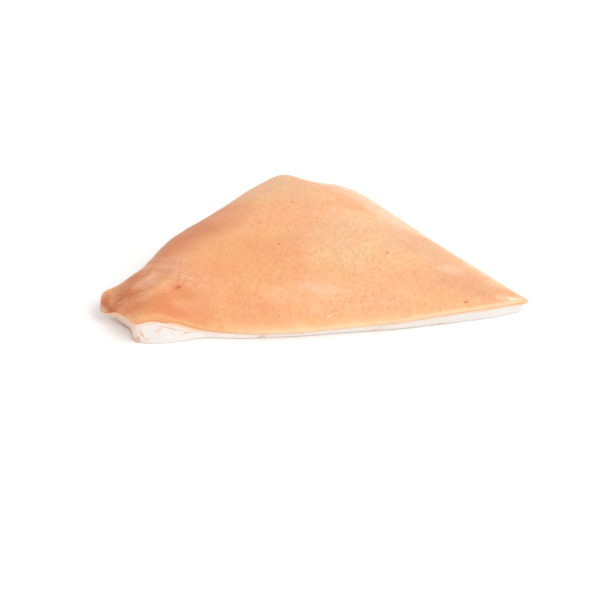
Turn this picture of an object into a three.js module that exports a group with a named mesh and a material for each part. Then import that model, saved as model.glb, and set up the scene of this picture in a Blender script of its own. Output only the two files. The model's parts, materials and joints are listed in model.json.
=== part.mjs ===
// A raw pork jowl: one slab of cheek fat with its rind on, lying rind up.
//
// Seen from above it has four corners: the front left corner, the long thin tip at the right, the
// back corner and the small lip at the left end. The rind domes over the middle and rolls down at
// the sides. Its cut edge stands a little proud of the fat below it, and the knife has cut the fat
// back under the rind, so that the underside is smaller than the rind.
//
// Millimetres, +Z up. The origin is under the middle of the slab, on what it lies on. +X runs along
// the long front cut towards the thin tip, and +Y runs back from that cut.

import * as THREE from "three";
import { mergeVertices } from "three/addons/utils/BufferGeometryUtils.js";

// ---------------------------------------------------------------------------------------------
// Driving dimensions

const RIND_THICKNESS = 2.4;
const RIND_STEP = 0.9; // how far the fat lies back from the rind's cut edge
const DOME_HEIGHT = 20; // of the middle above the height that the edges alone would give
const ROLL_HEIGHT = 2.2; // the rind rolls over by this much at its cut edge
const ROLL_WIDTH = 4;
const RELIEF_MARGIN = 6; // folds and unevenness fade out within this distance of an edge
const ALONG_CELLS = 64; // grid cells from the left end to the right end
const ACROSS_CELLS = 34; // from the front cut to the back
const WALL_CELLS = 7; // down the cut edge
const CLOSE_LINES = [0, 0.008, 0.024]; // shares of a side, so that its edges stay crisp
const UNDERSIDE_HOLLOW = 1.3; // depth of the hollows between the lobes of fat that it rests on

// The rind's edge from above, anticlockwise from the front left corner. rim is the height of the
// rind's upper edge, foot that of the fat's lower edge, and tuck how far the foot lies inside the rim.
const EDGE = [
  { x: -120, y: -45.5, rim: 17.5, foot: 0, tuck: -0.3, corner: "frontLeft" },
  { x: -108, y: -46, rim: 19.4, foot: 0, tuck: -4.5 },
  { x: -92, y: -48, rim: 15.4, foot: 0, tuck: -2 },
  { x: -76, y: -49.5, rim: 9, foot: 0, tuck: 1.5 },
  { x: -50, y: -54.5, rim: 6.4, foot: 0, tuck: 3 },
  { x: -15, y: -58, rim: 6.1, foot: 0, tuck: 4 },
  { x: 18, y: -59, rim: 7.4, foot: 0, tuck: 4.5 },
  { x: 52, y: -59.5, rim: 8.8, foot: 0, tuck: 4 },
  { x: 85, y: -57.5, rim: 10.8, foot: 0, tuck: 4 },
  { x: 115, y: -54.2, rim: 10.8, foot: 0, tuck: 4 },
  { x: 132, y: -51, rim: 10.2, foot: 0, tuck: 4.5 },
  { x: 140.8, y: -49.2, rim: 9.2, foot: 0, tuck: 6.5, corner: "tip" },
  { x: 134.5, y: -41.5, rim: 10.4, foot: 0, tuck: 6.5 },
  { x: 119.5, y: -19.6, rim: 12.2, foot: 0, tuck: 6 },
  { x: 96, y: 12.8, rim: 14.4, foot: 0, tuck: 5 },
  { x: 66.5, y: 58, rim: 17, foot: 0, tuck: 4 },
  { x: 47, y: 86.5, rim: 18.5, foot: 0, tuck: 4, corner: "back" },
  { x: 31, y: 98, rim: 18.5, foot: 0, tuck: 4 },
  { x: 11, y: 102, rim: 18, foot: 0, tuck: 4 },
  { x: 0.5, y: 105.2, rim: 18, foot: 0, tuck: 4 },
  { x: -10.5, y: 111.5, rim: 18, foot: 0, tuck: 4 },
  { x: -24.5, y: 105, rim: 15.5, foot: 0, tuck: 3 },
  { x: -58.5, y: 77, rim: 13, foot: 0, tuck: 3 },
  { x: -90, y: 50, rim: 12, foot: 0, tuck: 3 },
  { x: -107, y: 26, rim: 11, foot: 0.5, tuck: 4 },
  { x: -126, y: 6, rim: 10.5, foot: 1.5, tuck: 6 },
  { x: -138.5, y: -5, rim: 12.5, foot: 3, tuck: 8, corner: "lip" },
  { x: -140.8, y: -12, rim: 10.3, foot: 3, tuck: 9 },
  { x: -141, y: -20, rim: 7.4, foot: 3.4, tuck: 8 },
  { x: -133, y: -24, rim: 11, foot: 1, tuck: 3.5 },
  { x: -126, y: -36, rim: 14.8, foot: 0, tuck: 4.6 },
];

// The cut leans in towards this line, which runs along the middle of the slab.
const SPINE = new THREE.Line3(new THREE.Vector3(-96, -16, 0), new THREE.Vector3(64, -30, 0));

// How far in from each side the dome takes to rise, and how round its shoulder is.
const SHOULDERS = {
  front: { width: 78, roundness: 2.1 },
  right: { width: 90, roundness: 2.2 },
  back: { width: 46, roundness: 2.4 },
  left: { width: 60, roundness: 2 },
};

// Ridges and hollows of the rind, each along a line: height is negative for a hollow.
const RIND_FOLDS = [
  { from: [-136, -5], to: [-129, -22], width: 5, height: -3.2 }, // valley inside the lip
  { from: [-141, -6], to: [-142, -16], width: 4, height: 1.5 }, // the lip's raised edge
  { from: [-131, -27], to: [-112, 2], width: 9, height: 2.4 }, // ridge from the front cut to the neck
  { from: [-116, 20], to: [-104, 0], width: 9, height: -2 }, // neck, where the cheek begins
  { from: [-104, -8], to: [-58, -34], width: 13, height: -1.6 }, // long soft crease of the cheek
  { from: [-92, -24], to: [-90, -27], width: 5, height: -1.2 }, // dimple of the hair whorl
  { from: [30, 30], to: [70, -10], width: 26, height: 1.2 }, // swelling towards the tip
];

// ---------------------------------------------------------------------------------------------
// The edge as two curves that share one parameter: the rim of the rind and the foot of the cut

const { lerp } = THREE.MathUtils;
const SAMPLES_PER_STATION = 40; // for the lengths along the rim

// The level direction from a point of the edge to the spine.
function inward(x, y) {
  const point = new THREE.Vector3(x, y, 0);
  const onSpine = SPINE.closestPointToPoint(point, true, new THREE.Vector3());
  return onSpine.sub(point).normalize();
}

const rimCurve = new THREE.CatmullRomCurve3(
  EDGE.map((station) => new THREE.Vector3(station.x, station.y, station.rim)),
  true,
);
rimCurve.arcLengthDivisions = EDGE.length * SAMPLES_PER_STATION;

const footCurve = new THREE.CatmullRomCurve3(
  EDGE.map(({ x, y, foot, tuck }) => {
    const point = new THREE.Vector3(x, y, 0).addScaledVector(inward(x, y), tuck);
    return point.setZ(foot);
  }),
  true,
);

const rimPoint = (t) => rimCurve.getPoint(t);

// A point of the foot. The curve may not dip below what the slab lies on.
function footPoint(t) {
  const point = footCurve.getPoint(t);
  return point.setZ(Math.max(point.z, 0));
}

const corner = (name) => EDGE.findIndex((station) => station.corner === name);

// The four sides, each from its low end to its high end as u or v grows. The left side and the back
// run against the edge's direction, so they go from a later station to an earlier one.
const SIDES = {
  front: [corner("frontLeft"), corner("tip")],
  right: [corner("tip"), corner("back")],
  back: [corner("lip"), corner("back")],
  left: [EDGE.length, corner("lip")],
};

// The curve parameter at a share of a side's length.
function alongSide(side, share) {
  const lengths = rimCurve.getLengths();
  const [start, end] = SIDES[side].map((station) => lengths[station * SAMPLES_PER_STATION]);
  return rimCurve.getUtoTmapping(0, lerp(start, end, share));
}

// ---------------------------------------------------------------------------------------------
// Surfaces over the four-sided outline, for u and v from 0 to 1

// The points of the four sides that belong to u and v. pointAt gives the edge's point at t.
function sidePoints(pointAt, u, v) {
  return {
    front: pointAt(alongSide("front", u)),
    back: pointAt(alongSide("back", u)),
    left: pointAt(alongSide("left", v)),
    right: pointAt(alongSide("right", v)),
  };
}

// The point inside the outline by Coons' rule: what the two pairs of sides give, less their corners.
function insideOutline(pointAt, sides, u, v) {
  const point = new THREE.Vector3();
  point.addScaledVector(sides.front, 1 - v).addScaledVector(sides.back, v);
  point.addScaledVector(sides.left, 1 - u).addScaledVector(sides.right, u);
  for (const [uEnd, vEnd] of [[0, 0], [0, 1], [1, 0], [1, 1]]) {
    const share = (uEnd ? u : 1 - u) * (vEnd ? v : 1 - v);
    const side = vEnd ? "back" : "front";
    point.addScaledVector(pointAt(alongSide(side, uEnd)), -share);
  }
  return point;
}

// Level distances from a point to the four side points.
function reaches(point, sides) {
  const level = (a, b) => Math.hypot(a.x - b.x, a.y - b.y);
  return Object.fromEntries(Object.entries(sides).map(([name, at]) => [name, level(point, at)]));
}

// The height that the sides give inside the outline, where the nearer side counts more.
function edgeHeight(sides, reach) {
  let total = 0;
  let weights = 0;
  for (const name of Object.keys(sides)) {
    const weight = 1 / (reach[name] + 0.5) ** 2.5;
    total += weight * sides[name].z;
    weights += weight;
  }
  return total / weights;
}

// The share of the relief that is left at a distance from the edge.
const awayFromEdge = (distance) => 1 - Math.exp(-((distance / RELIEF_MARGIN) ** 2));

// The sum of the rind's folds at a point, each a smooth ridge round its line.
function folds(point) {
  let height = 0;
  for (const fold of RIND_FOLDS) {
    const line = new THREE.Line3(
      new THREE.Vector3(...fold.from, 0),
      new THREE.Vector3(...fold.to, 0),
    );
    const flat = new THREE.Vector3(point.x, point.y, 0);
    const nearest = line.closestPointToPoint(flat, true, new THREE.Vector3());
    height += fold.height * Math.exp(-((flat.distanceTo(nearest) / fold.width) ** 2));
  }
  return height;
}

// Slow waves of the rind, in millimetres.
function unevenness(x, y) {
  return (
    0.4 * Math.sin(x / 21 + y / 33) +
    0.35 * Math.sin(y / 18 - x / 45 + 1.7) +
    0.15 * Math.sin(x / 9.5 - y / 12 + 0.6)
  );
}

// Waves that the knife left in the cut, in millimetres halfway down the fat.
function cutWaves(x, y) {
  return 0.35 * Math.sin(x / 5.3 + y / 7.1) + 0.25 * Math.sin(x / 2.9 - y / 4.4 + 1.1);
}

// The underside's hollows, up to about 2, and its lobes, down to about -2, which are pressed flat.
function lobes(x, y) {
  return Math.sin(x / 17 + y / 30 + 0.8) + Math.sin(y / 15 - x / 34 + 2.4) - 0.2;
}

// A point of the rind's upper surface.
function rindPoint(u, v) {
  const sides = sidePoints(rimPoint, u, v);
  const point = insideOutline(rimPoint, sides, u, v);
  const reach = reaches(point, sides);
  let dome = 1;
  for (const [name, { width, roundness }] of Object.entries(SHOULDERS)) {
    dome *= 1 - (1 - Math.min(reach[name] / width, 1)) ** roundness;
  }
  const nearest = Math.min(...Object.values(reach));
  const roll = ROLL_HEIGHT * (1 - Math.exp(-nearest / ROLL_WIDTH));
  const relief = (folds(point) + unevenness(point.x, point.y)) * awayFromEdge(nearest);
  return point.setZ(edgeHeight(sides, reach) + roll + DOME_HEIGHT * dome + relief);
}

// A point of the underside.
function undersidePoint(u, v) {
  const sides = sidePoints(footPoint, u, v);
  const point = insideOutline(footPoint, sides, u, v);
  const reach = reaches(point, sides);
  const nearest = Math.min(...Object.values(reach));
  const relief = UNDERSIDE_HOLLOW * lobes(point.x, point.y) * awayFromEdge(nearest);
  return point.setZ(Math.max(0, edgeHeight(sides, reach) + relief));
}

// The rings down the cut: the rind's edge, the groove under it and the soft fat down to the foot.
// depth is below the rim, share is of the fat below the rind, and out is how far it stands out.
const WALL_RINGS = [
  { depth: 0, out: 0 },
  { depth: 0.7, out: 0.35 },
  { depth: RIND_THICKNESS - 0.3, out: 0.15 },
  { share: 0.06, out: -RIND_STEP },
  { share: 0.3, out: 0 },
  { share: 0.62, out: 0.6 },
  { share: 0.9, out: 0.8 },
  { share: 1, out: 0 },
];

// A point of the cut at curve parameter t, ring steps down from the rim.
function wallPoint(t, ring) {
  const rim = rimPoint(t);
  const foot = footPoint(t);
  const { depth, share, out } = WALL_RINGS[ring];
  const length = rim.distanceTo(foot);
  const down = depth ?? lerp(RIND_THICKNESS, length, share);
  const waves = share ? 4 * share * (1 - share) * cutWaves(rim.x, rim.y) : 0;
  const inwards = inward(rim.x, rim.y);
  return rim.lerp(foot, down / length).addScaledVector(inwards, -out - waves);
}

// ---------------------------------------------------------------------------------------------
// The slab: a box whose grid is bent to those surfaces

// The share of a side at one of its grid lines.
function gridShare(line, cells) {
  const close = CLOSE_LINES.length - 1;
  if (line <= close) return CLOSE_LINES[line];
  if (line >= cells - close) return 1 - CLOSE_LINES[cells - line];
  return lerp(CLOSE_LINES[close], 1 - CLOSE_LINES[close], (line - close) / (cells - 2 * close));
}

// The side and the share of it that a line of the wall stands on.
function wallParameter(u, v) {
  if (v === 0) return alongSide("front", u);
  if (v === 1) return alongSide("back", u);
  return u === 0 ? alongSide("left", v) : alongSide("right", v);
}

function slabGeometry() {
  const box = new THREE.BoxGeometry(1, 1, 1, ALONG_CELLS, ACROSS_CELLS, WALL_CELLS);
  box.deleteAttribute("normal");
  box.deleteAttribute("uv");
  const slab = mergeVertices(box);
  const position = slab.getAttribute("position");
  for (let i = 0; i < position.count; i++) {
    const line = (value, cells) => Math.round((value + 0.5) * cells);
    const u = gridShare(line(position.getX(i), ALONG_CELLS), ALONG_CELLS);
    const v = gridShare(line(position.getY(i), ACROSS_CELLS), ACROSS_CELLS);
    const ring = WALL_CELLS - line(position.getZ(i), WALL_CELLS);
    const onWall = u === 0 || u === 1 || v === 0 || v === 1;
    let point;
    if (onWall) point = wallPoint(wallParameter(u, v), ring);
    else point = ring === 0 ? rindPoint(u, v) : undersidePoint(u, v);
    position.setXYZ(i, point.x, point.y, point.z);
  }
  slab.computeBoundingBox();
  const { min, max } = slab.boundingBox;
  slab.translate(-(min.x + max.x) / 2, -(min.y + max.y) / 2, -min.z);
  slab.computeVertexNormals();
  return slab;
}

const rind = new THREE.MeshStandardMaterial({ color: "#f3b98c", roughness: 0.5, metalness: 0 });
const jowl = new THREE.Mesh(slabGeometry(), rind);
jowl.name = "pork_jowl";

const part = new THREE.Group();
part.add(jowl);

export default part;
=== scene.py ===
import json
import math

import bpy
import numpy as np
from mathutils import Euler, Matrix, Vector
from mathutils.kdtree import KDTree

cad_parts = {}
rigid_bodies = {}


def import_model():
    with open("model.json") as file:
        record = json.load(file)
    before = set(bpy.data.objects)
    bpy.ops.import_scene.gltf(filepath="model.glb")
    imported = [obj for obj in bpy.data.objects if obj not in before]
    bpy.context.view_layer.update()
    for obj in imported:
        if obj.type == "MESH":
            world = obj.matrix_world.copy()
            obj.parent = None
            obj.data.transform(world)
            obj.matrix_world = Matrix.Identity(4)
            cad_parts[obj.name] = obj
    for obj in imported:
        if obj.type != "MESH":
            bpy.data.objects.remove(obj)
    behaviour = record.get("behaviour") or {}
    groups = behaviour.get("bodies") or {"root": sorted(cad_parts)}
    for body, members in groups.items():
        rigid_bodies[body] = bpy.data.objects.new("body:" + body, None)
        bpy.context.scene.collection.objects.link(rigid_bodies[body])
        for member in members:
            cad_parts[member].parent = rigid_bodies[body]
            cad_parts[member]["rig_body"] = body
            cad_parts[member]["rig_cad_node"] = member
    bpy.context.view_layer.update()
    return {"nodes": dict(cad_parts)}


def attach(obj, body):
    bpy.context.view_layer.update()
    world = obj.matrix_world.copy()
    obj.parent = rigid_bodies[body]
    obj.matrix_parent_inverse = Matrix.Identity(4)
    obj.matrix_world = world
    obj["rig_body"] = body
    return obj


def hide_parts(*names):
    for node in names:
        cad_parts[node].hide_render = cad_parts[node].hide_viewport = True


# A raw pork jowl with its rind on. It is one piece, the slab: a copy of the solid, rounded, with a
# little relief pressed into it, in two materials, the rind and the fat.

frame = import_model()

MM = 0.001

# ---------------------------------------------------------------------------------------------
# Camera

# The middle of the photo looks at this point of the slab, from 35 degrees above the front cut.
CAMERA_TARGET = Vector((-9.65, -56.15, 11.5)) * MM
CAMERA_AZIMUTH = math.radians(-8)
CAMERA_ELEVATION = math.radians(35)
CAMERA_DISTANCE = 1.2  # metres
CAMERA_LENS = 109  # millimetres, as the sensor
CAMERA_SENSOR = 36
CAMERA_CLIP = (0.05, 50)  # metres

towards_camera = Vector((
    math.sin(CAMERA_AZIMUTH) * math.cos(CAMERA_ELEVATION),
    -math.cos(CAMERA_AZIMUTH) * math.cos(CAMERA_ELEVATION),
    math.sin(CAMERA_ELEVATION),
))
bpy.ops.object.camera_add(location=CAMERA_TARGET + towards_camera * CAMERA_DISTANCE)
camera = bpy.context.object
camera.name = "photo_camera"
camera.rotation_euler = (-towards_camera).to_track_quat("-Z", "Y").to_euler()
camera.data.lens = CAMERA_LENS
camera.data.sensor_width = CAMERA_SENSOR
camera.data.clip_start, camera.data.clip_end = CAMERA_CLIP
bpy.context.scene.camera = camera
bpy.context.scene.view_settings.view_transform = "Standard"

# ---------------------------------------------------------------------------------------------
# What the materials share

# A Mix node for colours: its inputs 0, 6 and 7 are the share and the two colours.
COLOUR_MIX = {"output": 2, "data_type": "RGBA"}


def linear(colour):
    """An sRGB hex colour as linear red, green, blue and alpha."""
    parts = [int(colour[i:i + 2], 16) / 255 for i in (1, 3, 5)]
    return [c / 12.92 if c <= 0.04045 else ((c + 0.055) / 1.055) ** 2.4 for c in parts] + [1]


def add(tree, kind, inputs=(), output=0, **settings):
    """Adds a node with its settings, links or sets its inputs, and gives one of its outputs."""
    made = tree.nodes.new(kind)
    for name, value in settings.items():
        setattr(made, name, value)
    for name, value in dict(inputs).items():
        if isinstance(value, bpy.types.NodeSocket):
            tree.links.new(value, made.inputs[name])
        else:
            made.inputs[name].default_value = value
    return made.outputs[output] if made.outputs else made


def new_material(name):
    """An empty node material, and its tree."""
    material = bpy.data.materials.new(name)
    material.use_nodes = True
    material.node_tree.nodes.clear()
    return material, material.node_tree


def millimetres(tree):
    """Where a point is on the slab, in millimetres."""
    place = add(tree, "ShaderNodeTexCoord", output="Object")
    return add(tree, "ShaderNodeVectorMath", {0: place, "Scale": 1000}, operation="SCALE")


def astray(tree, place, size, reach):
    """A point moved about by up to half a reach, so that patterns wander as in grown tissue."""
    drift = add(tree, "ShaderNodeTexNoise", {"Vector": place, "Scale": 1 / size, "Detail": 2}, output="Color")
    drift = add(tree, "ShaderNodeVectorMath", {0: drift, 1: (0.5, 0.5, 0.5)}, operation="SUBTRACT")
    return add(tree, "ShaderNodeVectorMath", {
        0: drift, 1: (reach, reach, reach), 2: place,
    }, operation="MULTIPLY_ADD")


def oval(tree, place, middle, reach, turn, solid=0.25):
    """A share for every point: 1 in the middle of an oval, sinking smoothly to 0 at its edge."""
    inside = add(tree, "ShaderNodeMapping", {
        "Vector": place,
        "Location": (*middle, 0),
        "Rotation": (0, 0, math.radians(turn)),
        "Scale": (*reach, 1000),
    }, vector_type="TEXTURE")
    away = add(tree, "ShaderNodeVectorMath", {0: inside}, output="Value", operation="LENGTH")
    return add(tree, "ShaderNodeMapRange", {
        "Value": away, "From Min": solid, "From Max": 1, "To Min": 1, "To Max": 0,
    }, interpolation_type="SMOOTHSTEP")


def spotted(tree, colour, place, spots, where=None):
    """A colour with oval spots laid over it one after another, and only where a share says."""
    for middle, reach, turn, tint, strength in spots:
        share = oval(tree, place, middle, reach, turn)
        share = add(tree, "ShaderNodeMath", {0: share, 1: strength}, operation="MULTIPLY")
        if where is not None:
            share = add(tree, "ShaderNodeMath", {0: share, 1: where}, operation="MULTIPLY")
        colour = add(tree, "ShaderNodeMix", {0: share, 6: colour, 7: linear(tint)}, **COLOUR_MIX)
    return colour


def cast_over(tree, colour, pattern, low, high, low_cast, high_cast):
    """A colour that leans to one near-white cast where a pattern is low, and to another where it is high."""
    share = add(tree, "ShaderNodeMapRange", {"Value": pattern, "From Min": low, "From Max": high})
    cast = add(tree, "ShaderNodeMix", {0: share, 6: linear(low_cast), 7: linear(high_cast)}, **COLOUR_MIX)
    return add(tree, "ShaderNodeMix", {0: 1.0, 6: colour, 7: cast}, **COLOUR_MIX, blend_type="MULTIPLY")


# ---------------------------------------------------------------------------------------------
# Floor and light, in metres and watts

FLOOR_SIZE = 8
SKY_STRENGTH = 0.9
KEY_PLACE = (0.9, -0.5, 1.1)
KEY_AIM = (0, 0, 0.01)
KEY_SIZE = 1.4
KEY_POWER = 13.3


def softbox(name, place, aim, size, power, colour):
    """A square area light at a place in metres, turned towards a point."""
    bpy.ops.object.light_add(type="AREA", location=place)
    light = bpy.context.object
    light.name = name
    light.rotation_euler = (Vector(aim) - Vector(place)).to_track_quat("-Z", "Y").to_euler()
    light.data.size = size
    light.data.energy = power
    light.data.color = linear(colour)[:3]


def studio():
    """A plain pale floor under plain soft light, brightest from the front right."""
    bpy.ops.mesh.primitive_plane_add(size=FLOOR_SIZE, location=(0, 0, 0))
    floor = bpy.context.object
    floor.name = "studio_floor"
    paper, tree = new_material("white backdrop paper")
    surface = add(tree, "ShaderNodeBsdfDiffuse", {"Color": linear("#f7f7f7")})
    add(tree, "ShaderNodeOutputMaterial", {"Surface": surface})
    floor.data.materials.append(paper)
    world = bpy.data.worlds.new("studio")
    world.use_nodes = True
    sky = world.node_tree.nodes["Background"]
    sky.inputs["Color"].default_value = linear("#ffffff")
    sky.inputs["Strength"].default_value = SKY_STRENGTH
    bpy.context.scene.world = world
    softbox("key_softbox", KEY_PLACE, KEY_AIM, KEY_SIZE, KEY_POWER, "#fffdf8")


studio()

# ---------------------------------------------------------------------------------------------
# Scalded pork rind: skin that was scalded and scraped clean of hair. It is satin rather than wet, a
# little translucent, and coloured by the fat that shines through it. The pores stand in rows.

# The patterns' sizes in millimetres. The skin's creasing and the scrape marks are drawn about 1 mm
# wide. The real ones are finer, too fine to show.
PATCH_SIZE = 26
MOTTLE_SIZE = 11
PORE_SPACING = 3.1
PORE_RADIUS = 0.54  # of the spacing
PORE_ROWS = (PORE_SPACING * 0.9, PORE_SPACING * 1.35)
PORE_ROWS_TURN = math.radians(-24)
CREASE_SIZE = 1.1
SCRAPE_SIZE = 1.1
BORDER_WIDTHS = (36, 19)  # at the back, and towards the tip
BORDER_FADE = 16

# How far a pattern wanders, or an edge is frayed: the drift's size and its reach, in millimetres.
TINT_DRIFT = (34, 22)
PORE_DRIFT = (40, 16)
SCRAPE_DRIFT = (18, 4)
MARK_DRIFT = (1.6, 1.4)
FRAY_SIZE, FRAY_REACH = 8, 7
FINE_FRAY_SIZE, FINE_FRAY_REACH = 3, 5

# How strongly each covers the tints, from 0 to 1.
BORDER_SHARE = 0.85
PORE_SHARE = 0.5
PALE_SCRAPE_SHARE = 0.42
DARK_SCRAPE_SHARE = 0.22

# How far each stands out of the rind's gloss, in millimetres.
CREASE_HEIGHT = 0.10
PORE_HEIGHT = -0.08
SCRAPE_HEIGHT = 0.06

# The broad tints, each an oval on the rind seen from above, strongest in its middle and gone at its
# edge: middle, half lengths, turn in degrees, colour, strength. Lengths are in millimetres.
RIND_TINTS = [
    ((-45, -30), (62, 40), 10, "#e3ac82", 1.0),  # golden orange, left of the middle
    ((36, -24), (58, 46), 0, "#e4c19f", 1.0),  # paler and yellower, right of the middle
    ((-5, 50), (50, 36), 0, "#e1bfa3", 0.9),  # back corner
    ((62, 18), (66, 20), -56, "#e8d6c2", 0.9),  # paler along the right edge
    ((-74, 9), (66, 30), 41, "#cc8b67", 1.0),  # painted shade: the flank that rolls down at the back left, turned from the light
    ((-50, 22), (24, 18), 40, "#e1a888", 0.6),
    ((84, -34), (42, 30), -35, "#dbb79c", 0.9),  # pinker towards the tip
    ((100, -64), (44, 20), -8, "#daae8f", 1.0),
    ((-50, -68), (48, 20), 0, "#e5ac82", 0.8),  # along the front cut
    ((30, -70), (60, 16), 0, "#e7bc9b", 0.8),
    ((-102, -64), (40, 21), 0, "#d99366", 1.0),  # deepest orange, at the front left
    ((-79, -68), (18, 10), 0, "#dfa27a", 0.6),
    ((-8, -66), (24, 12), 0, "#ecbb93", 0.5),
    ((36, 5), (40, 15), -20, "#efcca9", 0.6),  # creamier at the top right
    ((-113, -32), (30, 20), 30, "#c98462", 0.9),  # the ridge from the lip to the cheek: its own deeper orange, with painted shade
    ((-99, -27), (26, 14), -20, "#dcae96", 0.75),  # a pale veil over the cheek
    ((-139, -40), (9, 18), 0, "#d9b49c", 1.0),  # the lip
    ((-124, -44), (11, 10), 0, "#c26a36", 0.7),  # deep orange beside the lip
    ((-132.5, -40), (4.5, 13), 12, "#b66f4a", 1.0),  # painted shade in the hollow inside the lip
]

# Small marks, in the same way.
SORE = "#c25a34"
MOLE = "#96603c"
FLAKE = "#fbf4ea"
RIND_MARKS = [
    ((3, -59), (24, 6), -16, "#efc9b6", 0.3),  # a faint pale pink oval
    ((-24, -60), (19, 9), -10, "#efc9a8", 0.2),
    ((-86, -61), (15, 7), 0, "#e5a77c", 0.45),
    ((-119, -58), (13, 9), -12, "#c76a30", 0.5),  # deep orange between the lip and the front cut
    ((-110, -38), (13, 7), 25, "#e0b49a", 0.35),
    ((-139.5, -30), (4, 8), 10, "#dcb69c", 0.4),  # the lip's pale outer side
    ((-112, -29.5), (17, 5), 32, "#b4704a", 0.4),  # painted shadow along the flank of the ridge
    ((-46, -13), (18, 10), 0, "#e39a62", 0.25),
    ((125, -74), (10, 5), -10, "#efcdb0", 0.35),
    ((88, -71), (16, 8), 0, "#dda274", 0.4),
    ((94, -50), (12, 7), 0, "#eccab0", 0.35),
    ((-89.2, -46.8), (9, 7.5), 0, "#d8774c", 0.42),  # the hair whorl, like a small red star
    ((-89.2, -46.8), (4.4, 1.1), 8, SORE, 0.62),
    ((-89.6, -47.2), (1.1, 3.0), -35, SORE, 0.5),
    ((-88.6, -46.2), (1.0, 3.0), 40, SORE, 0.45),
    ((-88.0, -39.5), (1.1, 6.5), -10, SORE, 0.22),
    ((-98.4, -53), (2.4, 1.2), 20, SORE, 0.45),
    ((-94, -50), (1.6, 1), -20, SORE, 0.3),
    ((-109, -30.5), (5, 1.4), 10, SORE, 0.4),
    ((-28.4, 5.8), (2.4, 0.9), 10, SORE, 0.4),
    ((-18.7, -19.3), (0.9, 1.2), 0, "#7d4d30", 0.8),  # moles
    ((-17.6, 25.8), (0.8, 1.1), 0, MOLE, 0.6),
    ((-3.5, 25.5), (0.9, 1.0), 0, SORE, 0.5),
    ((49, 2), (7, 0.7), -6, SORE, 0.22),
    ((57, -2), (6, 0.7), -10, SORE, 0.22),
    ((64, 0), (5, 0.6), -14, SORE, 0.2),
    ((12, -22), (1.6, 0.8), 20, SORE, 0.3),
    ((28, -52), (1.2, 0.8), 0, SORE, 0.35),
    ((86, -62), (1.2, 1.0), 0, SORE, 0.3),
    ((-62, -66), (1.4, 1.1), 0, SORE, 0.3),
    ((42.9, -40.5), (0.9, 1.2), 0, SORE, 0.25),
    ((51.4, -37.9), (1.5, 1.3), 30, MOLE, 0.6),
    ((62.4, 6.8), (0.9, 1.2), 0, SORE, 0.5),
    ((97.4, -77.8), (2, 1), 0, "#b8552c", 0.7),
    ((132, -74.2), (7, 2.2), 8, "#f6d9c6", 0.5),  # flakes of dried fat
    ((126.4, -73.6), (1.6, 0.5), 15, FLAKE, 0.5),
    ((129.2, -74.4), (2.0, 1.1), -30, FLAKE, 0.9),
    ((132.4, -74.9), (1.8, 0.6), 10, FLAKE, 0.5),
    ((135.8, -74.6), (1.2, 0.6), 20, FLAKE, 0.4),
    ((7.2, -77.4), (1.9, 0.55), 35, FLAKE, 0.5),
    ((9.8, -79.4), (1.2, 0.5), -30, FLAKE, 0.4),
    ((5.2, -78.6), (1.2, 0.5), 30, FLAKE, 0.3),
]

# The scrape marks and folds of the left end fan out from the lip and arch over the cheek. They are laid
# out as the front shows them from above: millimetres across and up from FAN_ORIGIN. SCRAPED is the two
# ovals that hold the marks: middle, half lengths, turn in degrees.
FAN_ORIGIN = (-9.65, -56.15, 11.5)
FAN_TURN = (math.radians(55), 0, math.radians(-8))
FAN_MIDDLE = (-85.8, -19.8)
FAN_WIDTH = 1.21
SCRAPED = [((-108, 7), (33, 16), 32), ((-77, 16), (26, 8), -20)]


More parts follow.
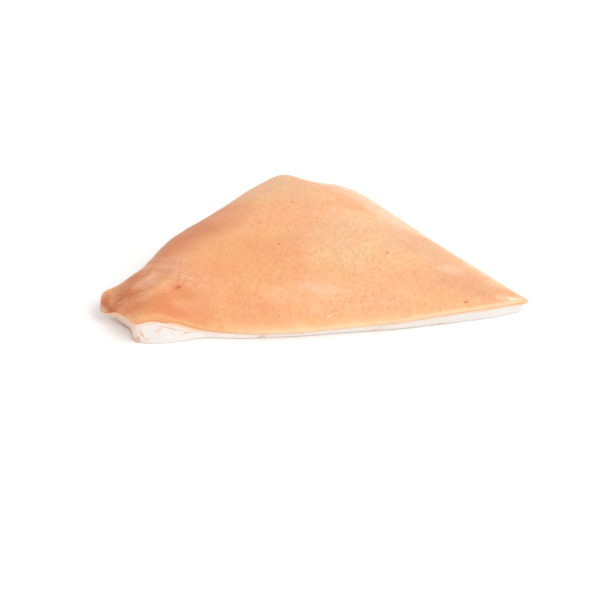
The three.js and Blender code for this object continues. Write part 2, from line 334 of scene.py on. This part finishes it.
def pork_rind():
    """The rind's material: broad tints, then patterns, small marks, the thin edge and the gloss."""
    rind, tree = new_material("scalded pork rind")
    place = millimetres(tree)
    wandering = astray(tree, place, *TINT_DRIFT)

    # The broad tints, their edges broken up.
    colour = spotted(tree, linear("#e7b78f"), wandering, RIND_TINTS)

    # Along the back and the right the rind thins to a pale border, widest at the back. It stops short
    # of the front cut and ends at the back corner.
    rim = add(tree, "ShaderNodeAttribute", output="Fac", attribute_name="from_rim")
    frayed = add(tree, "ShaderNodeTexNoise", {"Vector": place, "Scale": 1 / FRAY_SIZE, "Detail": 4})
    frayed = add(tree, "ShaderNodeMath", {0: frayed, 1: FRAY_REACH, 2: rim}, operation="MULTIPLY_ADD")
    x = add(tree, "ShaderNodeSeparateXYZ", {0: place}, output="X")
    width = add(tree, "ShaderNodeMapRange", {
        "Value": x, "From Min": 20, "From Max": 60, "To Min": BORDER_WIDTHS[0], "To Max": BORDER_WIDTHS[1],
    })
    inside = add(tree, "ShaderNodeMath", {0: width, 1: frayed}, operation="SUBTRACT")
    border = add(tree, "ShaderNodeMapRange", {
        "Value": inside, "From Min": 0, "From Max": BORDER_FADE, "To Min": 0, "To Max": BORDER_SHARE,
    }, interpolation_type="SMOOTHSTEP")
    y = add(tree, "ShaderNodeSeparateXYZ", {0: place}, output="Y")
    at_back = add(tree, "ShaderNodeMath", {0: width, 1: -1.8, 2: y}, operation="MULTIPLY_ADD")
    at_back = add(tree, "ShaderNodeMapRange", {"Value": at_back, "From Min": -104, "From Max": -92})
    share = add(tree, "ShaderNodeMath", {0: border, 1: at_back}, operation="MULTIPLY")
    at_right = add(tree, "ShaderNodeMapRange", {"Value": x, "From Min": -18, "From Max": 12})
    share = add(tree, "ShaderNodeMath", {0: share, 1: at_right}, operation="MULTIPLY")
    colour = add(tree, "ShaderNodeMix", {0: share, 6: colour, 7: linear("#eddfcf")}, **COLOUR_MIX)

    # Mottling of every size from a fingertip to a fine vein, between pale and deep orange, and slower
    # patches between pink and yellow.
    mottle = add(tree, "ShaderNodeTexNoise", {
        "Vector": place, "Scale": 1 / MOTTLE_SIZE, "Detail": 5, "Roughness": 0.92,
    })
    colour = cast_over(tree, colour, mottle, 0.39, 0.61, "#fef2e8", "#ffffff")
    patches = add(tree, "ShaderNodeTexNoise", {"Vector": place, "Scale": 1 / PATCH_SIZE, "Detail": 3})
    colour = cast_over(tree, colour, patches, 0.38, 0.62, "#fff8f5", "#fffff3")
    creasing = add(tree, "ShaderNodeTexNoise", {"Vector": place, "Scale": 1 / CREASE_SIZE, "Detail": 3})
    colour = cast_over(tree, colour, creasing, 0.35, 0.65, "#fcede0", "#ffffff")

    # Pores, some of them darker than others.
    rows = add(tree, "ShaderNodeMapping", {
        "Vector": astray(tree, place, *PORE_DRIFT),
        "Rotation": (0, 0, PORE_ROWS_TURN),
        "Scale": (*PORE_ROWS, 1),
    }, vector_type="TEXTURE")
    pores = {"Vector": rows, "Scale": 1, "Randomness": 0.8}
    away = add(tree, "ShaderNodeTexVoronoi", pores, output="Distance", voronoi_dimensions="2D")
    odds = add(tree, "ShaderNodeTexVoronoi", pores, output="Color", voronoi_dimensions="2D")
    odds = add(tree, "ShaderNodeSeparateColor", {0: odds})
    pore = add(tree, "ShaderNodeMapRange", {
        "Value": away, "From Min": 0, "From Max": PORE_RADIUS, "To Min": 1, "To Max": 0,
    }, interpolation_type="SMOOTHSTEP")
    pore = add(tree, "ShaderNodeMath", {0: pore, 1: odds}, operation="MULTIPLY")
    share = add(tree, "ShaderNodeMath", {0: pore, 1: PORE_SHARE}, operation="MULTIPLY")
    colour = add(tree, "ShaderNodeMix", {0: share, 6: colour, 7: linear("#db8650")}, **COLOUR_MIX)

    # Scrape marks: fine pale and dark streaks, where SCRAPED says. The noise is stretched along them.
    fan = add(tree, "ShaderNodeMapping", {
        "Vector": place, "Location": FAN_ORIGIN, "Rotation": FAN_TURN,
    }, vector_type="TEXTURE")
    scraped = [oval(tree, fan, *part, solid=0.3) for part in SCRAPED]
    scraped = add(tree, "ShaderNodeMath", dict(enumerate(scraped)), operation="MAXIMUM")
    fan = add(tree, "ShaderNodeMapping", {
        "Vector": astray(tree, fan, *SCRAPE_DRIFT),
        "Location": (*FAN_MIDDLE, 0),
        "Scale": (FAN_WIDTH, 1, 1000),
    }, vector_type="TEXTURE")
    across = add(tree, "ShaderNodeVectorMath", {0: fan}, output="Value", operation="LENGTH")
    right, up = (add(tree, "ShaderNodeSeparateXYZ", {0: fan}, output=axis) for axis in "XY")
    along = add(tree, "ShaderNodeMath", {0: up, 1: right}, operation="ARCTAN2")
    along = add(tree, "ShaderNodeMath", {0: along, 1: 5}, operation="MULTIPLY")
    streaks = add(tree, "ShaderNodeCombineXYZ", {0: across, 1: along})
    streaks = add(tree, "ShaderNodeTexNoise", {
        "Vector": streaks, "Scale": 1 / SCRAPE_SIZE, "Detail": 4, "Roughness": 0.7,
    })
    marks = add(tree, "ShaderNodeMapRange", {"Value": streaks, "From Min": 0.52, "From Max": 0.68})
    marks = add(tree, "ShaderNodeMath", {0: marks, 1: scraped}, operation="MULTIPLY")
    share = add(tree, "ShaderNodeMath", {0: marks, 1: PALE_SCRAPE_SHARE}, operation="MULTIPLY")
    colour = add(tree, "ShaderNodeMix", {0: share, 6: colour, 7: linear("#f0d0bf")}, **COLOUR_MIX)
    dark = add(tree, "ShaderNodeMapRange", {"Value": streaks, "From Min": 0.5, "From Max": 0.3})
    dark = add(tree, "ShaderNodeMath", {0: dark, 1: scraped}, operation="MULTIPLY")
    share = add(tree, "ShaderNodeMath", {0: dark, 1: DARK_SCRAPE_SHARE}, operation="MULTIPLY")
    colour = add(tree, "ShaderNodeMix", {0: share, 6: colour, 7: linear("#bf7450")}, **COLOUR_MIX)

    # Small marks, their edges ragged.
    colour = spotted(tree, colour, astray(tree, place, *MARK_DRIFT), RIND_MARKS)

    # The fat shines through the rind's thin edge as bands: wide cream, narrower cream, a pale line, and
    # gold at the front left. Each follows the distance from the edge, plain or frayed, and fades from
    # its strength to nothing over some millimetres, inside an oval with a solid part.
    finer = add(tree, "ShaderNodeTexNoise", {"Vector": place, "Scale": 1 / FINE_FRAY_SIZE, "Detail": 4})
    finer = add(tree, "ShaderNodeMath", {0: finer, 1: FINE_FRAY_REACH, 2: rim}, operation="MULTIPLY_ADD")
    for follows, start, end, strength, easing, middle, reach, solid, tint in (
        (frayed, 3, 13, 0.6, "SMOOTHERSTEP", (5, -25), (90, 200), 0.5, "#f0c595"),
        (frayed, 2.8, 7, 0.5, "SMOOTHSTEP", (40, -25), (120, 200), 0.7, "#f3cfa6"),
        (rim, 0.4, 2.8, 0.3, "SMOOTHSTEP", (45, -25), (125, 200), 0.6, "#ead2b6"),
        (finer, 2.0, 5.6, 0.55, "SMOOTHSTEP", (-104, -72), (60, 14), 0.6, "#ecb47c"),
    ):
        band = add(tree, "ShaderNodeMapRange", {
            "Value": follows, "From Min": start, "From Max": end, "To Min": strength, "To Max": 0,
        }, interpolation_type=easing)
        within = oval(tree, place, middle, reach, 0, solid=solid)
        share = add(tree, "ShaderNodeMath", {0: band, 1: within}, operation="MULTIPLY")
        colour = add(tree, "ShaderNodeMix", {0: share, 6: colour, 7: linear(tint)}, **COLOUR_MIX)

    # The lower part of the rind's cut edge is an orange line, strongest at the front left: the edge's own
    # orange with painted shadow where the rind stands proud of the fat.
    lower = oval(tree, place, (-107, -72), (20, 14), 0, solid=0.5)
    cut = add(tree, "ShaderNodeMath", {0: lower, 1: 1.2, 2: rim}, operation="MULTIPLY_ADD")
    line = add(tree, "ShaderNodeMapRange", {
        "Value": cut, "From Min": -1.9, "From Max": -0.6, "To Min": 1, "To Max": 0,
    }, interpolation_type="SMOOTHSTEP")
    edge_shadow_strength = add(tree, "ShaderNodeMapRange", {
        "Value": x, "From Min": -105, "From Max": -60, "To Min": 1, "To Max": 0.6,
    })
    share = add(tree, "ShaderNodeMath", {0: line, 1: edge_shadow_strength}, operation="MULTIPLY")
    colour = add(tree, "ShaderNodeMix", {0: share, 6: colour, 7: linear("#db8350")}, **COLOUR_MIX)

    # Fine creasing between the pores, the pores' own pits and the scrape marks break the gloss.
    height = add(tree, "ShaderNodeMath", {0: creasing, 1: CREASE_HEIGHT}, operation="MULTIPLY")
    height = add(tree, "ShaderNodeMath", {0: pore, 1: PORE_HEIGHT, 2: height}, operation="MULTIPLY_ADD")
    height = add(tree, "ShaderNodeMath", {0: marks, 1: SCRAPE_HEIGHT, 2: height}, operation="MULTIPLY_ADD")
    bump = add(tree, "ShaderNodeBump", {"Height": height, "Strength": 0.6, "Distance": MM})
    roughness = add(tree, "ShaderNodeMapRange", {"Value": mottle, "To Min": 0.42, "To Max": 0.58})
    surface = add(tree, "ShaderNodeBsdfPrincipled", {
        "Base Color": colour, "Roughness": roughness, "Normal": bump, "IOR": 1.4,
        "Subsurface Weight": 0.25, "Subsurface Radius": (1, 0.45, 0.25), "Subsurface Scale": 2 * MM,
    })
    add(tree, "ShaderNodeOutputMaterial", {"Surface": surface})
    return rind


# ---------------------------------------------------------------------------------------------
# Fresh pork fat: the firm layer under the cheek's skin, cut with a knife. It is dull, nearly white,
# with threads of pinkish membrane, and creamy where it meets the rind.

# The grain is the size of its lobes, in millimetres. The membranes come about every 14 mm along the
# slab, and every 5 mm up the cut.
GRAIN_SIZE = 9
GRAIN_DEPTH = 0.6 * MM
THREADS_PER_MM = (0.07, 0.07, 0.2)
THREAD_SHARE = 0.35
THREAD_DRIFT = (12, 6)
CUT_DRIFT = (3, 1.6)

# Marks on the front cut, seen from the front: middle in x and z, half lengths, turn, colour, strength.
MEMBRANE = "#daa27e"
CUT_MARKS = [
    ((-96, 9.6), (11, 0.55), -17, MEMBRANE, 0.8),
    ((-84.5, 6.2), (4.5, 0.6), -6, MEMBRANE, 0.6),
    ((-104.5, 9.4), (4.2, 1.0), 32, MEMBRANE, 0.5),
    ((-108.5, 13.6), (4, 0.6), 12, MEMBRANE, 0.4),
    ((-87.5, 6), (3.4, 0.9), 20, MEMBRANE, 0.5),
    ((-115.5, 6.8), (1.4, 4.6), 25, "#dfb187", 0.7),
    ((-118, 3.2), (2.2, 2.8), 0, "#dba67f", 0.7),
    ((-112.5, 3.0), (2.6, 1.2), 10, "#e6c29c", 0.6),
    ((79.8, 1.0), (1.8, 0.9), 0, "#d9817a", 0.8),
    ((-38, 1.4), (3.6, 0.9), 0, "#dc938a", 0.7),
    ((-12, 2.2), (3, 0.8), 0, "#e3a79a", 0.5),
    ((36, 1.6), (4, 0.7), 0, "#e3a79a", 0.5),
]


def pork_fat():
    """The fat's material: its grain, the two cuts, the membranes, and what lies just below the rind."""
    fat, tree = new_material("fresh pork fat")
    place = millimetres(tree)
    grain = add(tree, "ShaderNodeTexNoise", {
        "Vector": place, "Scale": 1 / GRAIN_SIZE, "Detail": 5, "Roughness": 0.6,
    })
    share = add(tree, "ShaderNodeMapRange", {"Value": grain, "From Min": 0.38, "From Max": 0.66})
    colour = add(tree, "ShaderNodeMix", {0: share, 6: linear("#eae5e2"), 7: linear("#e8e0d7")}, **COLOUR_MIX)

    # The left cut is pinker, and browner at its foot, where it has dried.
    left_cut = oval(tree, place, (-131, -56), (16, 30), 20, solid=0.5)
    colour = add(tree, "ShaderNodeMix", {0: left_cut, 6: colour, 7: linear("#e9cbb6")}, **COLOUR_MIX)
    x, y, z = (add(tree, "ShaderNodeSeparateXYZ", {0: place}, output=axis) for axis in "XYZ")
    foot = add(tree, "ShaderNodeMapRange", {
        "Value": z, "From Min": 1, "From Max": 3.4, "To Min": 0.8, "To Max": 0,
    }, interpolation_type="SMOOTHSTEP")
    share = add(tree, "ShaderNodeMath", {0: foot, 1: left_cut}, operation="MULTIPLY")
    colour = add(tree, "ShaderNodeMix", {0: share, 6: colour, 7: linear("#b98567")}, **COLOUR_MIX)

    # Left of the middle, where the slab is thin, the cut is painted brighter: painted light, standing for
    # light that comes through it.
    painted_through_light = add(tree, "ShaderNodeMapRange", {"Value": x, "From Min": -84, "From Max": -60})
    thick = add(tree, "ShaderNodeMapRange", {
        "Value": x, "From Min": 0, "From Max": 60, "To Min": 1, "To Max": 0,
    })
    painted_through_light = add(tree, "ShaderNodeMath", {0: painted_through_light, 1: thick}, operation="MULTIPLY")
    colour = add(tree, "ShaderNodeMix", {0: painted_through_light, 6: colour, 7: linear("#fbf0ec")}, **COLOUR_MIX)

    # Towards the tip it is cooler.
    share = add(tree, "ShaderNodeMapRange", {"Value": x, "From Min": 50, "From Max": 120})
    colour = add(tree, "ShaderNodeMix", {0: share, 6: colour, 7: linear("#e1dedc")}, **COLOUR_MIX)

    # Scraps of membrane on the front cut.
    from_front = add(tree, "ShaderNodeCombineXYZ", {0: x, 1: z})
    from_front = astray(tree, from_front, *CUT_DRIFT)
    front_cut = add(tree, "ShaderNodeMapRange", {"Value": y, "From Min": -64, "From Max": -68})
    colour = spotted(tree, colour, from_front, CUT_MARKS, where=front_cut)

    # Membranes: thin threads that lie along the slab.
    flat = add(tree, "ShaderNodeMapping", {
        "Vector": astray(tree, place, *THREAD_DRIFT), "Scale": THREADS_PER_MM,
    })
    thread = add(tree, "ShaderNodeTexNoise", {"Vector": flat, "Scale": 1, "Detail": 3})
    thread = add(tree, "ShaderNodeMath", {0: thread, 1: 0.5}, operation="SUBTRACT")
    thread = add(tree, "ShaderNodeMath", {0: thread}, operation="ABSOLUTE")
    thread = add(tree, "ShaderNodeMapRange", {
        "Value": thread, "From Min": 0, "From Max": 0.02, "To Min": 1, "To Max": 0,
    }, interpolation_type="SMOOTHSTEP")
    share = add(tree, "ShaderNodeMath", {0: thread, 1: THREAD_SHARE}, operation="MULTIPLY")
    colour = add(tree, "ShaderNodeMix", {0: share, 6: colour, 7: linear("#e3bb9c")}, **COLOUR_MIX)

    # Just below the rind the fat is peach, widest at the left, and below that cream, right of the cheek.
    rim = add(tree, "ShaderNodeAttribute", output="Fac", attribute_name="from_rim")
    share = add(tree, "ShaderNodeMapRange", {
        "Value": rim, "From Min": -5.8, "From Max": -2.4, "To Max": 0.9,
    }, interpolation_type="SMOOTHSTEP")
    rightwards = add(tree, "ShaderNodeMapRange", {
        "Value": x, "From Min": -58, "From Max": -36, "To Min": 0.15,
    })
    share = add(tree, "ShaderNodeMath", {0: share, 1: rightwards}, operation="MULTIPLY")
    colour = add(tree, "ShaderNodeMix", {0: share, 6: colour, 7: linear("#e8d4ba")}, **COLOUR_MIX)
    reach = add(tree, "ShaderNodeMapRange", {
        "Value": x, "From Min": -100, "From Max": -48, "To Min": 6.6, "To Max": 4.1,
    })
    below = add(tree, "ShaderNodeMath", {0: rim, 1: reach})
    band = add(tree, "ShaderNodeMapRange", {"Value": below, "From Max": 3.4}, interpolation_type="SMOOTHSTEP")
    colour = add(tree, "ShaderNodeMix", {0: band, 6: colour, 7: linear("#f6cda6")}, **COLOUR_MIX)

    # At the front left the rind's edge hangs lower, and ends in a dark orange crease line: painted shade
    # under the hanging edge.
    hangs = oval(tree, place, (-109, -70), (18, 14), 0, solid=0.45)
    depth = add(tree, "ShaderNodeMath", {0: hangs, 1: 1.9, 2: rim}, operation="MULTIPLY_ADD")
    share = add(tree, "ShaderNodeMapRange", {
        "Value": depth, "From Min": -2.7, "From Max": -1.5, "To Max": 0.9,
    }, interpolation_type="SMOOTHSTEP")
    colour = add(tree, "ShaderNodeMix", {0: share, 6: colour, 7: linear("#ecab76")}, **COLOUR_MIX)
    crease_shade = add(tree, "ShaderNodeMath", {0: depth, 1: 1.9}, operation="ADD")
    crease_shade = add(tree, "ShaderNodeMath", {0: crease_shade}, operation="ABSOLUTE")
    crease_shade = add(tree, "ShaderNodeMapRange", {
        "Value": crease_shade, "From Min": 0.2, "From Max": 0.7, "To Min": 0.8, "To Max": 0,
    })
    share = add(tree, "ShaderNodeMath", {0: crease_shade, 1: hangs}, operation="MULTIPLY")
    colour = add(tree, "ShaderNodeMix", {0: share, 6: colour, 7: linear("#da7f48")}, **COLOUR_MIX)

    bump = add(tree, "ShaderNodeBump", {"Height": grain, "Strength": 0.3, "Distance": GRAIN_DEPTH})
    surface = add(tree, "ShaderNodeBsdfPrincipled", {
        "Base Color": colour, "Roughness": 0.5, "Normal": bump, "IOR": 1.45,
        "Subsurface Weight": 0.3, "Subsurface Radius": (1, 0.7, 0.55), "Subsurface Scale": 3 * MM,
    })
    add(tree, "ShaderNodeOutputMaterial", {"Surface": surface})
    return fat


# ---------------------------------------------------------------------------------------------
# The slab's shape

SLAB = "pork_jowl_slab"

# The rind's edge from above, anticlockwise from the front left corner, in millimetres.
RIM_STATIONS = [
    (-120, -45.5, 17.5), (-108, -46, 19.4), (-92, -48, 15.4), (-76, -49.5, 9),
    (-50, -54.5, 6.4), (-15, -58, 6.1), (18, -59, 7.4), (52, -59.5, 8.8),
    (85, -57.5, 10.8), (115, -54.2, 10.8), (132, -51, 10.2), (140.8, -49.2, 9.2),
    (134.5, -41.5, 10.4), (119.5, -19.6, 12.2), (96, 12.8, 14.4), (66.5, 58, 17),
    (47, 86.5, 18.5), (31, 98, 18.5), (11, 102, 18), (0.5, 105.2, 18), (-10.5, 111.5, 18),
    (-24.5, 105, 15.5), (-58.5, 77, 13), (-90, 50, 12), (-107, 26, 11),
    (-126, 6, 10.5), (-138.5, -5, 12.5), (-140.8, -12, 10.3), (-141, -20, 7.4),
    (-133, -24, 11), (-126, -36, 14.8),
]
# From where those are drawn to the slab's place in the frame.
RIM_SHIFT = (0.3737, -25.9319, 0)
STEPS_PER_STATION = 400
MERGE_DISTANCE = 0.01 * MM
RIM_TOLERANCE = 0.12 * MM
SMOOTH_LEVELS = 2
WEIGHT_STEPS = 20  # from no weight to full weight
FULL_WEIGHT = 0.99  # what counts as full

# The relief: sizes along the surface in millimetres, and how deep it is pressed in.
LUMP_SIZE = 14
LUMP_DEPTH = 0.6 * MM
FOLD_SPACING = 5.5
FOLD_DEPTH = 0.5 * MM
FOLD_SWAY = 1.2  # millimetres to either side
FOLD_SWAYS = 5  # in a full turn of the fan
CUT_LUMP_SIZE = 5
CUT_LUMP_DEPTH = 0.9 * MM

# Where the relief grows from nothing to its full depth, in millimetres. The folds lie in the fan: from
# its middle, and across and up in its view.
LUMPS_FROM_EDGE = (2, 12)
FOLDS_FROM_EDGE = (1, 5)
FOLDS_BEGIN = (28, 34)
FOLDS_END = (52, 45)
FOLDS_ACROSS = (-60, -80)
FOLDS_UP = (-14, -4)
CUT_FROM_EDGE = (2.6, 5)
CUT_FROM_FLOOR = (0.4, 2.5)


def rim_curve():
    """The rind's edge as close points in metres, on a smooth closed curve through its stations."""
    stations = (np.array(RIM_STATIONS, float) + RIM_SHIFT) * MM
    count = len(stations)
    t = np.linspace(0, 1, STEPS_PER_STATION, endpoint=False)[:, None]
    points = []
    for i in range(count):
        p = [stations[(i + k) % count] for k in (-1, 0, 1, 2)]
        # The root of each gap sets the curve's pace, so that it doesn't swing out between close stations.
        gap = [np.linalg.norm(p[k + 1] - p[k]) ** 0.5 for k in range(3)]
        chord = (p[2] - p[1]) / gap[1]
        leave = (p[1] - p[0]) / gap[0] - (p[2] - p[0]) / (gap[0] + gap[1]) + chord
        arrive = chord - (p[3] - p[1]) / (gap[1] + gap[2]) + (p[3] - p[2]) / gap[2]
        leave, arrive = leave * gap[1], arrive * gap[1]
        square = 3 * (p[2] - p[1]) - 2 * leave - arrive
        cube = 2 * (p[1] - p[2]) + leave + arrive
        points.append(p[1] + leave * t + square * t**2 + cube * t**3)
    return np.concatenate(points)


def places(mesh):
    """A mesh's vertices as rows of x, y and z in metres."""
    flat = np.empty(len(mesh.vertices) * 3, np.float32)
    mesh.vertices.foreach_get("co", flat)
    return flat.reshape(-1, 3).astype(float)


def distances(points, targets):
    """How far each point is from the nearest target."""
    nearby = KDTree(len(targets))
    for i, target in enumerate(targets):
        nearby.insert(target, i)
    nearby.balance()
    return np.array([nearby.find(point)[2] for point in points])


def copy_of_solid(rim):
    """A copy of the solid, merged, paired into quads and seamed along the rim."""
    solid = frame["nodes"]["pork_jowl"]
    bpy.ops.object.select_all(action="DESELECT")
    bpy.context.view_layer.objects.active = solid
    solid.select_set(True)
    bpy.ops.object.duplicate()
    slab = bpy.context.object
    slab.name = slab.data.name = SLAB
    slab.parent = None
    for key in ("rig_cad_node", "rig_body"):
        del slab[key]
    slab.data.materials.clear()
    bpy.ops.object.mode_set(mode="EDIT")
    bpy.ops.mesh.select_all(action="SELECT")
    bpy.ops.mesh.remove_doubles(threshold=MERGE_DISTANCE)
    bpy.ops.object.mode_set(mode="OBJECT")
    on_rim = distances(places(slab.data), rim) < RIM_TOLERANCE
    for edge in slab.data.edges:
        edge.use_seam = bool(on_rim[edge.vertices[0]] and on_rim[edge.vertices[1]])
    bpy.ops.object.mode_set(mode="EDIT")
    bpy.ops.mesh.tris_convert_to_quads(
        face_threshold=math.pi, shape_threshold=math.pi, topology_influence=2, seam=True
    )
    bpy.ops.object.mode_set(mode="OBJECT")
    return slab


def split_rind(slab):
    """Gives the rind and its cut edge the first material slot, and the fat the second. The group "rind"
    is the rind's top, out to the seams."""
    mesh = slab.data
    highest = max(mesh.polygons, key=lambda face: face.center.z).index
    slab.vertex_groups.new(name="rind")
    bpy.ops.object.mode_set(mode="EDIT")
    bpy.ops.mesh.select_mode(type="FACE")
    bpy.ops.mesh.select_all(action="DESELECT")
    bpy.ops.object.mode_set(mode="OBJECT")
    mesh.polygons[highest].select = True
    bpy.ops.object.mode_set(mode="EDIT")
    bpy.ops.mesh.select_linked(delimit={"SEAM"})
    bpy.ops.object.vertex_group_assign()
    bpy.ops.mesh.select_more()
    bpy.ops.mesh.select_more()
    bpy.ops.mesh.select_all(action="INVERT")
    slab.active_material_index = 1
    bpy.ops.object.material_slot_assign()
    bpy.ops.object.mode_set(mode="OBJECT")


def smooth(slab):
    """Rounds the slab's facets away."""
    bpy.ops.object.modifier_add(type="SUBSURF")
    rounding = slab.modifiers[-1]
    rounding.levels = rounding.render_levels = SMOOTH_LEVELS
    bpy.ops.object.modifier_apply(modifier=rounding.name)


def store(mesh, name, values):
    """Keeps a number for every vertex where the materials can read it."""
    attribute = mesh.attributes.new(name, "FLOAT", "POINT")
    attribute.data.foreach_set("value", values.astype(np.float32))


def weigh(slab, name, weights):
    """A vertex group with a weight for every vertex, in WEIGHT_STEPS steps."""
    group = slab.vertex_groups.new(name=name)
    steps = np.rint(weights * WEIGHT_STEPS).astype(int)
    for step in range(1, WEIGHT_STEPS + 1):
        group.add(np.flatnonzero(steps == step).tolist(), step / WEIGHT_STEPS, "REPLACE")
    return group


def press_in(slab, texture, depth, group):
    """Presses the surface in, up to a depth, where a group has weight and a texture, if any, is dark."""
    bpy.ops.object.modifier_add(type="DISPLACE")
    press = slab.modifiers[-1]
    press.texture = texture
    press.texture_coords = "LOCAL"
    press.mid_level = 1 if texture else 0
    press.strength = depth if texture else -depth
    press.vertex_group = group.name
    bpy.ops.object.modifier_apply(modifier=press.name)


def ramp(values, low, high):
    """0 at low, 1 at high, and smooth between them."""
    share = np.clip((values - low) / (high - low), 0, 1)
    return share * share * (3 - 2 * share)


rim_points = rim_curve()
slab = copy_of_solid(rim_points)
slab.data.materials.append(pork_rind())
slab.data.materials.append(pork_fat())
split_rind(slab)
smooth(slab)

mesh = slab.data
at = places(mesh) / MM
# Rounding lets the group's weight fade past its edge, so only full weight counts as the rind's top.
top = slab.vertex_groups["rind"].index
on_rind = np.array([any(g.group == top and g.weight > FULL_WEIGHT for g in v.groups) for v in mesh.vertices])
from_rim = distances(at * MM, rim_points) / MM
# Millimetres from the rind's edge: positive on its top, negative down the cut.
store(mesh, "from_rim", np.where(on_rind, from_rim, -from_rim))

# Slow lumps of the rind.
away_from_edge = on_rind * ramp(from_rim, *LUMPS_FROM_EDGE)
lumps = bpy.data.textures.new("rind lumps", "CLOUDS")
lumps.noise_scale = LUMP_SIZE * MM
press_in(slab, lumps, LUMP_DEPTH, weigh(slab, "rind away from its edge", away_from_edge))

# Folds that arch over the cheek: waves that follow one another out from the fan's middle.
front = (at - FAN_ORIGIN) @ np.array(Euler(FAN_TURN).to_matrix())
fan = (front[:, :2] - FAN_MIDDLE) / (FAN_WIDTH, 1)
across = np.hypot(*fan.T) + FOLD_SWAY * np.sin(FOLD_SWAYS * np.arctan2(*fan.T))
folded = on_rind * ramp(from_rim, *FOLDS_FROM_EDGE) * ramp(across, *FOLDS_BEGIN) * ramp(across, *FOLDS_END)
folded *= ramp(front[:, 0], *FOLDS_ACROSS) * ramp(front[:, 1], *FOLDS_UP)
folds = (0.5 + 0.5 * np.cos(across * 2 * math.pi / FOLD_SPACING)) * folded
press_in(slab, None, FOLD_DEPTH, weigh(slab, "folds", folds))

# The fat's uneven cut.
cut_lumps = bpy.data.textures.new("fat lumps", "CLOUDS")
cut_lumps.noise_scale = CUT_LUMP_SIZE * MM
wall = ~on_rind * ramp(from_rim, *CUT_FROM_EDGE) * ramp(at[:, 2], *CUT_FROM_FLOOR)
press_in(slab, cut_lumps, CUT_LUMP_DEPTH, weigh(slab, "cut fat", wall))

bpy.ops.object.shade_smooth()
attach(slab, "root")
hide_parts("pork_jowl")
